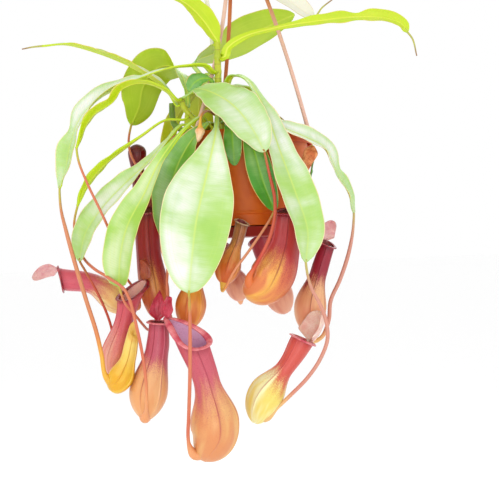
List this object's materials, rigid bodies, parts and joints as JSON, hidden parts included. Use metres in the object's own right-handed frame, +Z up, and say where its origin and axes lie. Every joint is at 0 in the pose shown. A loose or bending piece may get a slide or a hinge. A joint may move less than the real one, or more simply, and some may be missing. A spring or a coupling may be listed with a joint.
{
  "type": "hanging pitcher plant",
  "caption": "Hanging pitcher plant: filled plastic pot with saucer on a hooked hanger, with arching leaves whose tendrils carry hollow, lidded pitchers.",
  "frame": {"origin": "where the hook bears on its rail, at the top inside of its bend, over the pot's axis", "axes": "+Z up, -Y to the side that the picture shows, +X to its right"},
  "size_m": [0.44, 0.2526, 0.6426],
  "materials": {
    "pot": "moulded plastic, satin, with a faint sheen",
    "saucer": "moulded plastic, satin",
    "soil": "damp peat and bark mix, coarse and matt",
    "stem": "smooth living stem, swollen at the nodes",
    "stem_old": "older cut stem with a dry pale end",
    "leaf": "waxy leathery blade, bright yellow-green",
    "leaf_pale": "waxy leathery blade with a pale sheen",
    "leaf_dark": "waxy leathery blade in shade",
    "pitcher_red": "smooth skin, streaked crimson over a peach bulb",
    "pitcher_pink": "smooth skin, streaked pink over a cream bulb",
    "pitcher_orange": "smooth skin, orange bulb under a pink top",
    "pitcher_young": "smooth young skin, pale yellow",
    "pitcher_dry": "dried brown skin",
    "hanger": "thin moulded plastic, satin"
  },
  "bodies": {
    "root": {"pot": "pot", "saucer": "saucer", "soil": "soil", "main_stem": "stem", "side_shoot": "stem", "cut_stem": "stem_old", "leaf_top_left": "leaf", "leaf_top_arch": "leaf_pale", "leaf_back_right": "leaf", "leaf_long_right": "leaf", "leaf_left_wave": "leaf_pale", "leaf_left_near": "leaf", "leaf_broad_left": "leaf", "leaf_far_left": "leaf_pale", "leaf_low_left": "leaf", "leaf_left_front": "leaf_pale", "leaf_left_long": "leaf", "leaf_shaded": "leaf_dark", "leaf_centre": "leaf_pale", "leaf_upper_centre": "leaf_pale", "leaf_right_drop": "leaf_pale", "leaf_right_side": "leaf", "leaf_gap_right": "leaf_dark", "leaf_gap_left": "leaf_dark", "leaf_small_round": "leaf_dark", "leaf_rear_left": "leaf", "leaf_rear_centre": "leaf_pale", "leaf_rear_far_left": "leaf", "leaf_rear_right": "leaf_dark", "pitcher_far_left": "pitcher_pink", "pitcher_pink": "pitcher_pink", "pitcher_young_left": "pitcher_young", "pitcher_lidded": "pitcher_red", "pitcher_front": "pitcher_red", "pitcher_orange_left": "pitcher_red", "pitcher_orange_mid": "pitcher_orange", "pitcher_withered": "pitcher_orange", "pitcher_rear_left": "pitcher_pink", "pitcher_large_right": "pitcher_red", "pitcher_right": "pitcher_red", "pitcher_low_right": "pitcher_red", "pitcher_shaded_left": "pitcher_red", "pitcher_rear_right": "pitcher_red", "pitcher_rear_far": "pitcher_pink", "pitcher_dry": "pitcher_dry", "bud": "pitcher_young", "hook": "hanger", "strand_right": "hanger", "strand_back": "hanger", "strand_left": "hanger"}
  },
  "joints": []
}
